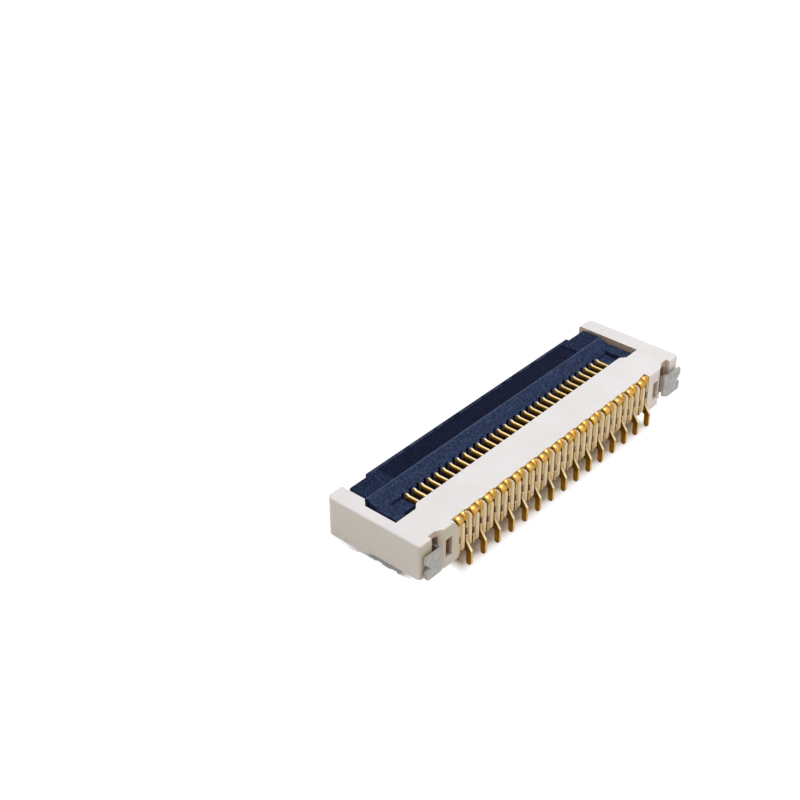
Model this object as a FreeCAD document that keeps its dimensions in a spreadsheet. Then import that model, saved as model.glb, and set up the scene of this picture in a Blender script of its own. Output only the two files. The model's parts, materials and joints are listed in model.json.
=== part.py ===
import FreeCAD, Part
import os
import re
import Sketcher
from FreeCAD import Vector

# Upright surface-mount connector for a flat flexible cable, 0.5 mm pitch.
# Millimetres. X runs along the row of contacts. The circuit board lies in the
# plane Y = 0, on the -Y side; the cable enters from +Y. Z = 0 is the housing's
# lower long face. The actuator turns on an axle along X and is modelled closed.

# Driving sizes
SIZES = {
    # row of contacts
    "contact_count": 30,
    "pitch": 0.5,
    # housing envelope
    "rear_setback": 0.28,
    "housing_depth": 5.37,
    "housing_height": 2.15,
    "end_length": 2.69,
    "rear_corner_round": 0.18,
    "front_corner_round": 0.32,
    "top_round": 0.10,
    # bay that the actuator lies in, and the cable's passage below it
    "plate_depth": 2.08,
    "bay_margin": 0.51,
    "bay_bevel_width": 0.30,
    "bay_bevel_depth": 0.24,
    "arm_wall": 0.95,
    "first_arm_wall": 0.59,
    "first_arm_step": 3.88,
    "passage_margin": 0.55,
    "passage_floor": 0.60,
    "passage_roof": 1.05,
    "passage_stop": 1.10,
    "pivot_floor": 0.35,
    "pivot_front": 3.95,
    "lead_in": 0.25,
    # slots for the contacts and the ribs between them
    "slot_width": 0.17,
    "slot_floor": 0.28,
    "slot_top": 1.90,
    "slot_front": 4.78,
    "slot_mouth": 0.75,
    "short_rib_top": 1.60,
    "pocket_reach": 0.62,
    "rib_slant_depth": 0.20,
    "rib_slant_height": 0.26,
    # end blocks: moulding windows, alcoves for the solder tabs, raised base
    "block_window_place": 0.54,
    "block_window_width": 0.44,
    "block_window_low": 0.50,
    "block_window_high": 1.42,
    "block_window_depth": 0.90,
    "alcove_place": 1.05,
    "alcove_width": 0.86,
    "alcove_depth": 0.24,
    "alcove_slant": 0.42,
    "base_step_inset": 1.10,
    "base_step_rear": 0.33,
    "base_step_front": 0.13,
    "base_rear_end": 2.90,
    "base_front_start": 3.70,
    # solder tabs
    "tab_thickness": 0.15,
    "tab_leg_place": 1.37,
    "tab_inset": 0.14,
    "tab_low": 0.36,
    "tab_high": 1.58,
    "tab_leg_low": 0.55,
    "tab_leg_high": 1.42,
    "tab_leg_end": 1.75,
    "tab_bend": 0.12,
    "tab_corner_round": 0.16,
    "tab_notch_depth": 0.26,
    "tab_notch_high": 1.21,
    "tab_notch_mid": 0.94,
    "tab_notch_low": 0.80,
    "tab_slot_width": 0.40,
    "tab_slot_gap": 0.04,
    "tab_slot_rise": 0.42,
    # actuator
    "axle_place": 3.00,
    "axle_height": 1.29,
    "axle_radius": 0.22,
    "cam_radius": 0.25,
    "window_width": 0.25,
    "window_radius": 0.75,
    "window_corner": 0.31,
    "comb_edge_place": 3.50,
    "comb_edge_height": 1.75,
    "ridge_place": 4.28,
    "ridge_height": 2.08,
    "lever_front": 5.31,
    "lever_under": 1.10,
    "lever_side_gap": 0.12,
    "lever_corner_round": 0.12,
    "lip_depth": 0.17,
    "lip_margin": 0.33,
    "panel_inset": 0.28,
    "panel_depth": 0.04,
    "panel_rim": 0.09,
    "cam_bevel": 0.10,
    "flat_top": 1.62,
    "bar_place": 1.05,
    "bar_width": 0.65,
    "bar_top": 1.85,
    "bar_under": 1.00,
    "bar_rear": 2.30,
    "bar_front": 3.65,
    "bar_bevel": 0.15,
    "bar_corner_width": 0.18,
    "bar_corner_depth": 0.28,
    # contacts
    "contact_thickness": 0.14,
    "seat_gap": 0.02,
    "trunk_rear": 0.30,
    "trunk_front": 0.95,
    "trunk_foot": 0.12,
    "beam_under": 1.54,
    "beam_top": 1.82,
    "hook_gap": 0.04,
    "hook_nose": 0.15,
    "hook_low": 1.28,
    "hook_tip": 3.47,
    "hook_top": 1.88,
    "lower_beam": 0.20,
    "lower_beam_end": 4.66,
    "bump_place": 4.32,
    "bump_height": 0.76,
    "bump_flat": 0.04,
    "head_width": 0.29,
    "head_top": 2.12,
    "head_corner": 0.08,
    "lobe_reach": 0.10,
    "lobe_width": 0.36,
    "lobe_low": 1.70,
    "lobe_corner": 0.12,
    "recess_depth": 0.15,
    "recess_slant": 0.04,
    "long_recess_low": 0.86,
    "long_recess_high": 1.22,
    "short_recess_low": 0.61,
    "short_recess_high": 0.97,
    "foot_depth": 0.28,
    "foot_length": 0.70,
    "foot_knee": 0.09,
    "foot_root": 0.52,
    "foot_taper": 0.07,
}

# Places worked out from the driving sizes
PLACES = {
    "field_half": "(contact_count - 1) * pitch / 2",
    "housing_half": "field_half + end_length",
    "housing_front": "rear_setback + housing_depth",
    "plate_edge": "rear_setback + plate_depth",
    "bay_half": "field_half + bay_margin",
    "bay_wall": "plate_edge - bay_bevel_depth",
    "arm_inner": "housing_half - arm_wall",
    "first_arm_inner": "housing_half - first_arm_wall",
    "passage_half": "field_half + passage_margin",
    "tab_leg_inner": "field_half + tab_leg_place",
    "tab_leg_outer": "tab_leg_inner + tab_thickness",
    "tab_end": "housing_half - tab_inset",
    "lever_half": "arm_inner - lever_side_gap",
    "panel_half": "field_half - panel_inset",
    "comb_half": "field_half + window_width",
    "cam_back": "axle_place - cam_radius",
    "slope_rise": "(ridge_height - comb_edge_height) / (ridge_place - comb_edge_place)",
    "contact_foot": "slot_floor + seat_gap",
    "contact_roof": "slot_top - seat_gap",
    "hook_inner": "axle_place + axle_radius + hook_gap",
    "lower_beam_top": "contact_foot + lower_beam",
    "lip_front": "lever_front + lip_depth",
    "recess_floor": "trunk_rear + recess_depth",
    "lobe_rear": "trunk_rear - lobe_reach",
    "lobe_front": "lobe_rear + lobe_width",
}

doc = FreeCAD.newDocument("fpc_connector")
sheet = doc.addObject("Spreadsheet::Sheet", "Sizes")
for row, (alias, value) in enumerate(SIZES.items(), start=1):
    sheet.set(f"A{row}", alias)
    sheet.set(f"B{row}", str(value))
    sheet.setAlias(f"B{row}", alias)
doc.recompute()


def formula(text):
    """Write each name as a cell of the sheet, or as the formula it stands for."""
    def cell(match):
        word = match.group(0)
        if word in PLACES:
            return "(" + formula(PLACES[word]) + ")"
        return "Sizes." + word
    return re.sub(r"[a-z]\w*", cell, str(text))


def number(text):
    """The present value of a formula, in millimetres."""
    return float(sheet.evalExpression(formula(text)))


def origin_part(body, role):
    """One of the body's own origin planes or axes."""
    return next(item for item in body.Origin.OriginFeatures if item.Role == role)


def new_body(name):
    """An empty body whose label names its file."""
    body = doc.addObject("PartDesign::Body", name)
    body.Label = name
    return body


def new_sketch(body, name, plane, offset="0"):
    """A sketch on an origin plane of the body, moved along the plane's normal."""
    sketch = body.newObject("Sketcher::SketchObject", name)
    sketch.AttachmentSupport = [(origin_part(body, plane), "")]
    sketch.MapMode = "FlatFace"
    sketch.setExpression("AttachmentOffset.Base.z", formula(offset))
    return sketch


def tie_point(sketch, line, end, place):
    """Hold one end of a line at a place given by two formulas."""
    for kind, text in zip(("DistanceX", "DistanceY"), place):
        index = sketch.addConstraint(
            Sketcher.Constraint(kind, -1, 1, line, end, number(text))
        )
        sketch.setExpression(f"Constraints[{index}]", formula(text))


def outline(body, name, plane, corners, offset="0"):
    """A closed outline of straight runs through the corners."""
    sketch = new_sketch(body, name, plane, offset)
    points = [Vector(number(u), number(v), 0) for u, v in corners]
    count = len(points)
    for index in range(count):
        after = points[(index + 1) % count]
        sketch.addGeometry(Part.LineSegment(points[index], after))
    for index in range(count):
        following = (index + 1) % count
        sketch.addConstraint(
            Sketcher.Constraint("Coincident", index, 2, following, 1)
        )
        tie_point(sketch, index, 1, corners[index])
    return sketch


def add_circle(sketch, centre, radius):
    """A circle inside an outline, which keeps what it encloses."""
    middle = Vector(number(centre[0]), number(centre[1]), 0)
    circle = sketch.addGeometry(Part.Circle(middle, Vector(0, 0, 1), number(radius)))
    tie_point(sketch, circle, 3, centre)
    held = sketch.addConstraint(
        Sketcher.Constraint("Radius", circle, number(radius))
    )
    sketch.setExpression(f"Constraints[{held}]", formula(radius))


def step(body, kind, name):
    """Add a solid feature at the end of the body's history."""
    feature = body.newObject("PartDesign::" + kind, name)
    body.Tip = feature
    return feature


def pad(body, sketch, length, symmetric=True):
    """Raise a sketch into a solid."""
    feature = step(body, "Pad", sketch.Name + "_pad")
    feature.Profile = sketch
    feature.SideType = "Symmetric" if symmetric else "One side"
    feature.setExpression("Length", formula(length))
    doc.recompute()
    return feature


def pocket(body, sketch, length, symmetric=True, reverse=False):
    """Cut a sketch into the body, and make sure that it takes something away."""
    before = body.Tip.Shape.Volume
    feature = step(body, "Pocket", sketch.Name + "_cut")
    feature.Profile = sketch
    feature.SideType = "Symmetric" if symmetric else "One side"
    feature.Reversed = reverse
    feature.setExpression("Length", formula(length))
    doc.recompute()
    if feature.Shape.Volume >= before:
        raise RuntimeError(feature.Name + " cuts nothing")
    return feature


def row_of(body, feature, count, spacing):
    """Repeat a feature along the row of contacts."""
    pattern = step(body, "LinearPattern", feature.Name + "_row")
    pattern.Originals = [feature]
    pattern.Direction = (origin_part(body, "X_Axis"), [""])
    pattern.Mode = "Spacing"
    pattern.setExpression("Offset", formula(spacing))
    pattern.setExpression("Occurrences", formula(count))
    body.Tip = pattern
    doc.recompute()
    return pattern


def both_ends(body, *features):
    """Repeat features at the other end of the row."""
    mirror = step(body, "Mirrored", features[0].Name + "_pair")
    mirror.Originals = list(features)
    mirror.MirrorPlane = (origin_part(body, "YZ_Plane"), [""])
    body.Tip = mirror
    doc.recompute()
    return mirror


def edges_along(shape, axis, places):
    """Names of the straight edges along an axis that stand at the given places.

    A place is the pair of formulas for the two other coordinates, in X, Y, Z order.
    """
    along = "xyz".index(axis)
    others = [index for index in range(3) if index != along]
    wanted = [tuple(number(text) for text in place) for place in places]
    names = []
    for index, edge in enumerate(shape.Edges, start=1):
        if len(edge.Vertexes) != 2 or not isinstance(edge.Curve, Part.Line):
            continue
        ends = [vertex.Point for vertex in edge.Vertexes]
        for place in wanted:
            near = [
                abs(end[other] - value) < 1e-4
                for end in ends
                for other, value in zip(others, place)
            ]
            if all(near):
                names.append(f"Edge{index}")
    return names


def dress(body, kind, name, size, edges):
    """Round or bevel the named edges of the body's last feature."""
    base = body.Tip
    if not edges:
        raise RuntimeError(name + " finds no edge")
    feature = step(body, kind, name)
    feature.Base = (base, edges)
    feature.setExpression("Radius" if kind == "Fillet" else "Size", formula(size))
    doc.recompute()
    return feature


def box_cut(body, name, width, depth, height):
    """Cut a box given by the formulas of its two limits along X, Y and Z."""
    sketch = outline(
        body, name, "YZ_Plane",
        [(depth[0], height[0]), (depth[1], height[0]),
         (depth[1], height[1]), (depth[0], height[1])],
        offset=f"({width[0]} + {width[1]}) / 2",
    )
    return pocket(body, sketch, f"{width[1]} - ({width[0]})")


# Moulded housing
def make_housing():
    """A rear block with a slot for each contact, a plate over it and two end arms."""
    body = new_body("housing")
    block = outline(body, "block", "YZ_Plane", [
        ("rear_setback", "0"),
        ("housing_front", "0"),
        ("housing_front", "housing_height"),
        ("rear_setback", "housing_height"),
    ])
    pad(body, block, "2 * housing_half")
    for name, place, radius in (
        ("front_corners", "housing_front", "front_corner_round"),
        ("rear_corners", "rear_setback", "rear_corner_round"),
    ):
        upright = edges_along(
            body.Tip.Shape, "z", [("housing_half", place), ("-housing_half", place)]
        )
        dress(body, "Fillet", name, radius, upright)
    # the top edges run on into each other round the corners
    rim = edges_along(body.Tip.Shape, "x", [("housing_front", "housing_height")])
    dress(body, "Fillet", "top_rim", "top_round", rim)

    cut_bay(body)
    cut_end_blocks(body)
    cut_slots(body)
    return body


def cut_bay(body):
    """The open bay between the arms, the cable's passage and the pivot wells."""
    bay = outline(body, "bay", "XY_Plane", [
        ("bay_half", "plate_edge"),
        ("bay_half + bay_bevel_width", "bay_wall"),
        ("arm_inner", "bay_wall"),
        ("arm_inner", "housing_front + pitch"),
        ("-arm_inner", "housing_front + pitch"),
        ("-arm_inner", "first_arm_step + first_arm_inner - arm_inner"),
        ("-first_arm_inner", "first_arm_step"),
        ("-first_arm_inner", "bay_wall"),
        ("-bay_half - bay_bevel_width", "bay_wall"),
        ("-bay_half", "plate_edge"),
    ], offset="housing_height")
    pocket(body, bay, "housing_height - passage_roof", symmetric=False)
    box_cut(
        body, "passage",
        ("-passage_half", "passage_half"),
        ("passage_stop", "housing_front + pitch"),
        ("passage_floor", "passage_roof"),
    )
    well = box_cut(
        body, "pivot_well",
        ("passage_half", "arm_inner"),
        ("bay_wall", "pivot_front"),
        ("pivot_floor", "passage_roof + pitch"),
    )
    both_ends(body, well)
    mouth = edges_along(
        body.Tip.Shape, "x", [("housing_front", "passage_floor")]
    )
    dress(body, "Chamfer", "passage_mouth", "lead_in", mouth)


def cut_slots(body):
    """A slot for each contact; short and tall ribs stay between them by turns."""
    slot = outline(body, "slot", "YZ_Plane", [
        ("0", "-pitch"),
        ("slot_mouth", "-pitch"),
        ("slot_mouth", "slot_floor"),
        ("slot_front", "slot_floor"),
        ("slot_front", "passage_roof"),
        ("plate_edge + pitch", "passage_roof"),
        ("plate_edge + pitch", "slot_top"),
        ("0", "slot_top"),
    ], offset="-field_half")
    row_of(body, pocket(body, slot, "slot_width"), "contact_count", "pitch")
    opening = box_cut(
        body, "rib_pocket",
        ("-field_half - slot_width / 2", "-field_half + pitch + slot_width / 2"),
        ("0", "pocket_reach"),
        ("short_rib_top", "housing_height + pitch"),
    )
    row_of(body, opening, "contact_count / 2", "2 * pitch")
    slant = outline(body, "rib_slant", "YZ_Plane", [
        ("0", "rib_slant_height"),
        ("rear_setback", "rib_slant_height"),
        ("rear_setback + rib_slant_depth", "0"),
        ("rear_setback + rib_slant_depth", "-pitch"),
        ("0", "-pitch"),
    ], offset="-field_half + 1.5 * pitch")
    row_of(body, pocket(body, slant, "pitch"), "contact_count / 2 - 1", "2 * pitch")


def cut_end_blocks(body):
    """Moulding windows, alcoves and slots for the solder tabs, and raised ends."""
    window = box_cut(
        body, "block_window",
        ("field_half + block_window_place",
         "field_half + block_window_place + block_window_width"),
        ("0", "block_window_depth"),
        ("block_window_low", "block_window_high"),
    )
    both_ends(body, window)
    alcove = outline(body, "alcove", "XY_Plane", [
        ("field_half + alcove_place", "-pitch"),
        ("field_half + alcove_place", "rear_setback"),
        ("field_half + alcove_place + alcove_slant", "rear_setback + alcove_depth"),
        ("field_half + alcove_place + alcove_width", "rear_setback + alcove_depth"),
        ("field_half + alcove_place + alcove_width", "-pitch"),
    ])
    both_ends(body, pocket(body, alcove, "3 * housing_height"))
    tab_slot = box_cut(
        body, "tab_slot",
        ("tab_leg_inner - tab_slot_gap", "tab_leg_inner + tab_slot_width"),
        ("0", "tab_leg_end + tab_slot_gap"),
        ("tab_leg_low - tab_slot_gap", "tab_leg_high + tab_slot_rise"),
    )
    both_ends(body, tab_slot)
    base_step = outline(body, "base_step", "YZ_Plane", [
        ("0", "-pitch"),
        ("housing_front + pitch", "-pitch"),
        ("housing_front + pitch", "base_step_front"),
        ("base_front_start", "base_step_front"),
        ("base_rear_end", "base_step_rear"),
        ("0", "base_step_rear"),
    ], offset="housing_half - base_step_inset / 2 + pitch / 2")
    both_ends(body, pocket(body, base_step, "base_step_inset + pitch"))


# Hinged actuator
def make_actuator():
    """A lever with a comb of windows that leave the axle bare for the contacts."""
    body = new_body("actuator")
    lever = outline(body, "lever", "YZ_Plane", [
        ("comb_edge_place", "lever_under"),
        ("lever_front", "lever_under"),
        ("lever_front", "ridge_height"),
        ("ridge_place", "ridge_height"),
        ("comb_edge_place", "comb_edge_height"),
    ])
    pad(body, lever, "2 * lever_half")
    lip = outline(body, "lip", "YZ_Plane", [
        ("lever_front - lip_depth", "lever_under"),
        ("lip_front", "lever_under"),
        ("lip_front", "ridge_height"),
        ("lever_front - lip_depth", "ridge_height"),
    ])
    pad(body, lip, "2 * (field_half + lip_margin)")
    corners = edges_along(body.Tip.Shape, "z", [
        ("lever_half", "lever_front"), ("-lever_half", "lever_front"),
    ])
    dress(body, "Fillet", "lever_corners", "lever_corner_round", corners)
    panel = outline(body, "sunk_panel", "YZ_Plane", [
        ("ridge_place + panel_depth", "ridge_height - panel_depth"),
        ("lip_front - panel_rim", "ridge_height - panel_depth"),
        ("lip_front - panel_rim", "ridge_height + pitch"),
        ("ridge_place + panel_depth", "ridge_height + pitch"),
    ])
    pocket(body, panel, "2 * panel_half")

    comb = outline(body, "comb", "YZ_Plane", [
        ("cam_back", "axle_height - cam_radius"),
        ("comb_edge_place - cam_radius", "axle_height - cam_radius"),
        ("comb_edge_place + slope_rise", "lever_under"),
        ("comb_edge_place + slope_rise", "axle_height + cam_radius"),
        ("cam_back", "axle_height + cam_radius"),
    ])
    pad(body, comb, "2 * comb_half")
    cam_edges = edges_along(body.Tip.Shape, "x", [
        ("cam_back", "axle_height - cam_radius"),
        ("cam_back", "axle_height + cam_radius"),
    ])
    dress(body, "Chamfer", "cam_back", "cam_bevel", cam_edges)

    add_ends(body)
    around = [
        (f"axle_place + ({u})", f"axle_height + ({v})")
        for u, v in (
            ("window_radius", "-window_corner"), ("window_radius", "window_corner"),
            ("window_corner", "window_radius"), ("-window_corner", "window_radius"),
            ("-window_radius", "window_corner"), ("-window_radius", "-window_corner"),
            ("-window_corner", "-window_radius"), ("window_corner", "-window_radius"),
        )
    ]
    window = outline(body, "window", "YZ_Plane", around, offset="-field_half")
    add_circle(window, ("axle_place", "axle_height"), "axle_radius")
    row_of(body, pocket(body, window, "window_width"), "contact_count", "pitch")
    return body


def add_ends(body):
    """The lowered flats beside the comb and the pivot bars outside them."""
    flat = outline(body, "flat", "YZ_Plane", [
        ("cam_back", "lever_under"),
        ("comb_edge_place + slope_rise", "lever_under"),
        ("comb_edge_place + slope_rise", "flat_top"),
        ("cam_back", "flat_top"),
    ], offset="(comb_half + field_half + bar_place) / 2 - window_width / 4")
    flat_pad = pad(
        body, flat, "field_half + bar_place - comb_half + window_width / 2"
    )
    bar = outline(body, "pivot_bar", "YZ_Plane", [
        ("bar_rear + bar_bevel", "bar_under"),
        ("bar_front", "bar_under"),
        ("bar_front", "bar_top"),
        ("bar_rear + bar_bevel", "bar_top"),
        ("bar_rear", "bar_top - bar_bevel"),
        ("bar_rear", "bar_under + bar_bevel"),
    ], offset="field_half + bar_place + bar_width / 2")
    bar_pad = pad(body, bar, "bar_width")
    corner = outline(body, "bar_corner", "XY_Plane", [
        ("field_half + bar_place", "bar_rear"),
        ("field_half + bar_place + bar_corner_width", "bar_rear"),
        ("field_half + bar_place", "bar_rear + bar_corner_depth"),
    ], offset="flat_top")
    corner_cut = pocket(body, corner, "bar_top", symmetric=False, reverse=True)
    both_ends(body, flat_pad, bar_pad, corner_cut)


# Solder tabs
def make_solder_tab(name, side):
    """A strip bent to a right angle: a leg in the housing, a plate on the board."""
    body = new_body(name)
    strip = outline(body, "strip", "XY_Plane", [
        (f"{side} * tab_leg_inner", "0"),
        (f"{side} * tab_end", "0"),
        (f"{side} * tab_end", "tab_thickness"),
        (f"{side} * tab_leg_outer", "tab_thickness"),
        (f"{side} * tab_leg_outer", "tab_leg_end"),
        (f"{side} * tab_leg_inner", "tab_leg_end"),
    ], offset="tab_low")
    pad(body, strip, "tab_high - tab_low", symmetric=False)
    inner = edges_along(
        body.Tip.Shape, "z", [(f"{side} * tab_leg_outer", "tab_thickness")]
    )
    dress(body, "Fillet", "inner_bend", "tab_bend", inner)
    outer = edges_along(body.Tip.Shape, "z", [(f"{side} * tab_leg_inner", "0")])
    dress(body, "Fillet", "outer_bend", "tab_bend + tab_thickness", outer)
    for label, low, high in (
        ("above_leg", "tab_leg_high", "tab_high + pitch"),
        ("below_leg", "tab_low - pitch", "tab_leg_low"),
    ):
        box_cut(
            body, label,
            (f"{side} * (tab_leg_inner + tab_leg_outer) / 2 - tab_thickness",
             f"{side} * (tab_leg_inner + tab_leg_outer) / 2 + tab_thickness"),
            ("tab_thickness + tab_bend", "tab_leg_end + pitch"),
            (low, high),
        )
    notch = outline(body, "notch", "XZ_Plane", [
        (f"{side} * (tab_end + pitch)", "tab_notch_high + tab_notch_depth"),
        (f"{side} * tab_end", "tab_notch_high"),
        (f"{side} * (tab_end - tab_notch_depth)", "tab_notch_mid"),
        (f"{side} * tab_end", "tab_notch_low"),
        (f"{side} * (tab_end + pitch)", "tab_notch_low"),
    ])
    pocket(body, notch, "4 * tab_thickness")
    lower_corner = edges_along(
        body.Tip.Shape, "y", [(f"{side} * tab_end", "tab_low")]
    )
    dress(body, "Fillet", "rounded_end", "tab_corner_round", lower_corner)
    return body


# Contacts
def recess(low, high):
    """A shallow bay in a contact's rear edge, from its upper to its lower end."""
    return [
        ("trunk_rear", high),
        ("recess_floor", f"{high} - recess_slant"),
        ("recess_floor", f"{low} + recess_slant"),
        ("trunk_rear", low),
    ]


def long_rear():
    """The arched head and the long foot that reaches past the housing."""
    head = [
        ("trunk_rear + head_width", "contact_roof"),
        ("trunk_rear + head_width - head_corner", "head_top"),
        ("trunk_rear + head_corner / 2", "head_top"),
        ("trunk_rear", "head_top - head_corner"),
    ]
    foot = [
        ("trunk_rear", "foot_root"),
        ("0", "foot_knee"),
        ("0", "foot_taper - foot_length"),
        ("foot_taper", "-foot_length"),
        ("foot_depth - foot_taper", "-foot_length"),
        ("foot_depth", "foot_taper - foot_length"),
        ("foot_depth", "0"),
        ("foot_root", "trunk_foot"),
        ("slot_mouth - seat_gap", "trunk_foot"),
        ("slot_mouth - seat_gap", "contact_foot"),
    ]
    return head + recess("long_recess_low", "long_recess_high") + foot


def short_rear():
    """The rounded lobe that stands over a short rib, and the plain lower end."""
    lobe = [
        ("lobe_front", "contact_roof"),
        ("lobe_front", "head_top - lobe_corner"),
        ("lobe_front - lobe_corner", "head_top"),
        ("lobe_rear + lobe_corner", "head_top"),
        ("lobe_rear", "head_top - lobe_corner"),
        ("lobe_rear", "lobe_low + lobe_corner"),
        ("trunk_rear", "lobe_low"),
    ]
    end = [
        ("trunk_rear", "trunk_foot"),
        ("slot_mouth - seat_gap", "trunk_foot"),
        ("slot_mouth - seat_gap", "contact_foot"),
    ]
    return lobe + recess("short_recess_low", "short_recess_high") + end


def make_contact(name, index):
    """A stamped fork: hooked upper beam, sprung lower beam, head and foot."""
    body = new_body(name)
    fork_front = [
        ("lower_beam_end", "contact_foot"),
        ("lower_beam_end", "(contact_foot + bump_height) / 2"),
        ("bump_place + bump_flat", "bump_height"),
        ("bump_place - bump_flat", "bump_height"),
        ("bump_place - 2 * lower_beam", "lower_beam_top"),
        ("trunk_front", "lower_beam_top"),
        ("trunk_front", "beam_under"),
        ("hook_inner", "beam_under"),
        ("hook_inner", "hook_low"),
        ("hook_inner + hook_nose", "hook_low"),
        ("hook_tip", "beam_under"),
        ("hook_tip", "hook_top - hook_gap"),
        ("hook_tip - hook_gap", "hook_top"),
        ("hook_inner + hook_gap", "hook_top"),
        ("hook_inner - 2 * hook_gap", "beam_top"),
        ("trunk_front", "beam_top"),
        ("trunk_front", "contact_roof"),
    ]
    if index % 2:
        rear = long_rear()
    else:
        rear = short_rear()
    profile = outline(body, "profile", "YZ_Plane", fork_front + rear)
    pad(body, profile, "contact_thickness")
    body.setExpression("Placement.Base.x", formula(f"{index} * pitch - field_half"))
    return body


bodies = [make_housing(), make_actuator()]
bodies.append(make_solder_tab("solder_tab_left", "-1"))
bodies.append(make_solder_tab("solder_tab_right", "1"))
for index in range(int(number("contact_count"))):
    bodies.append(make_contact(f"contact_{index + 1:02d}", index))
doc.recompute()

# Nothing is written unless every object is sound
for item in doc.Objects:
    if "Invalid" in item.State or "Error" in item.State:
        raise RuntimeError(item.Name + " has failed")
for body in bodies:
    if body.Shape.isNull() or not body.Shape.isValid():
        raise RuntimeError(body.Label + " has no valid shape")
    if len(body.Shape.Solids) != 1:
        raise RuntimeError(f"{body.Label} has {len(body.Shape.Solids)} solids")

os.makedirs("parts", exist_ok=True)
for body in bodies:
    body.Shape.exportStep(f"parts/{body.Label}.step")
print(len(bodies), "sub-parts written")
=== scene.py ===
"""Looks of an upright connector for a flat cable: moulded resin, gold contacts, tin tabs.

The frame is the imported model's: X along the row of contacts, the circuit board in
the plane Y = 0, Z across the housing. Sizes and places are in millimetres here, and
MM turns them into the frame's metres.
"""
import json
import math

import bmesh
import bpy
import numpy as np
from mathutils import Matrix, Vector


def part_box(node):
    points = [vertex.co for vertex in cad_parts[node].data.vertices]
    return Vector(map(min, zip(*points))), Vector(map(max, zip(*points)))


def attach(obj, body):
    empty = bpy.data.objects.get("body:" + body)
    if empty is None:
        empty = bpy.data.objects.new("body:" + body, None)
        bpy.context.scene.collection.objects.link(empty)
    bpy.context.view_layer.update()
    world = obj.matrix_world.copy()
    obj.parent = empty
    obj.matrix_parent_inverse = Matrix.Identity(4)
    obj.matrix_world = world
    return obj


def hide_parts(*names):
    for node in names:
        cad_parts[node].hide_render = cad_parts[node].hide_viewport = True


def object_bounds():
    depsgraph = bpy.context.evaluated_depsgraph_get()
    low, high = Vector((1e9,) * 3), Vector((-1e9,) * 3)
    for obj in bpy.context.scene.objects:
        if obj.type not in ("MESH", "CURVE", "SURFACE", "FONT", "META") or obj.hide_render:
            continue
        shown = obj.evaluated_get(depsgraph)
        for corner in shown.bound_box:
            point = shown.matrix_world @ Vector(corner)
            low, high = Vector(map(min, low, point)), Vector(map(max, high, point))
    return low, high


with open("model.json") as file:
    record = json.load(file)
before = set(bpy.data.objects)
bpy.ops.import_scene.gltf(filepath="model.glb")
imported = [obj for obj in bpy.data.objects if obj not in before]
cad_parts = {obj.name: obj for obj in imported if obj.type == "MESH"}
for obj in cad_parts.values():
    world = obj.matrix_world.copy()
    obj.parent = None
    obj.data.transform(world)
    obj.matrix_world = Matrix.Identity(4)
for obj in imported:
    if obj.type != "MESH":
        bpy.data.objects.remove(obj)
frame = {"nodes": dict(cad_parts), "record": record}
cad_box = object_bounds()
MM = 0.001

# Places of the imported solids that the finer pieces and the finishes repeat

PITCH = 0.5
COUNT = sum(node.startswith("contact_") for node in frame["nodes"])
FIELD_HALF = (COUNT - 1) * PITCH / 2
CONTACT_THICKNESS = 0.14
BOARD_SIDE = 0.28
POCKET_REACH = 0.62
RIB_HALF_WIDTH = 0.165
WINDOW_PLACE = 8.01
WINDOW_HEIGHT = 0.96
ALCOVE_PLACE = 8.80
RIDGE_PLACE = 4.28
RIM_PLACE = 5.39
HOUSING_HALF, CABLE_SIDE = (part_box("housing")[1] / MM)[:2]
FOOT_TIP = (0.14, cad_box[0].z / MM)

BODY_OF = {
    node: body
    for body, members in frame["record"]["behaviour"]["bodies"].items()
    for node in members
}
SLOT_OF = {part["node"]: part["material_slot"] for part in frame["record"]["subparts"]}


# Node trees

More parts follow.
